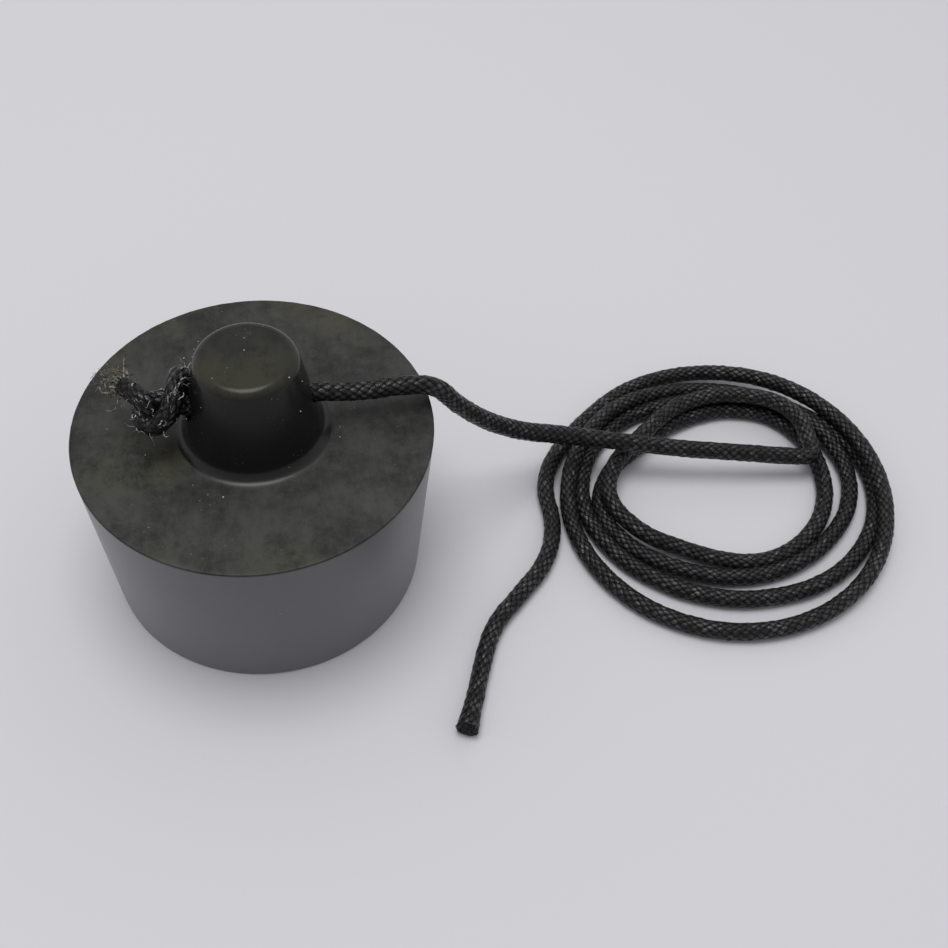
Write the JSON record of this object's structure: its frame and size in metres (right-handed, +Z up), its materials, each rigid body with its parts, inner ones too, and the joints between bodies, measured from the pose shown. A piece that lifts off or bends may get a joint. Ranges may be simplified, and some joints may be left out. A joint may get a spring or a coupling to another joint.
{
  "type": "boat drain plug with cord",
  "caption": "Tapered rubber drain bung with a tapered grip boss on top and a knotted braided cord through the boss, the cord coiled beside it.",
  "frame": {"origin": "centre of the bung's flat foot", "axes": "+Z up along the bung's axis towards its boss, +X along the cord's bore towards the side where the cord leads off"},
  "size_m": [0.178, 0.0899, 0.0594],
  "materials": {
    "rubber": "matte moulded black rubber with a light bloom",
    "cord": "glossy black braided synthetic cord"
  },
  "bodies": {
    "root": {"plug_body": "rubber", "cord_knot": "cord", "cord_lead": "cord", "cord_coil": "cord", "cord_tail": "cord"}
  },
  "joints": []
}
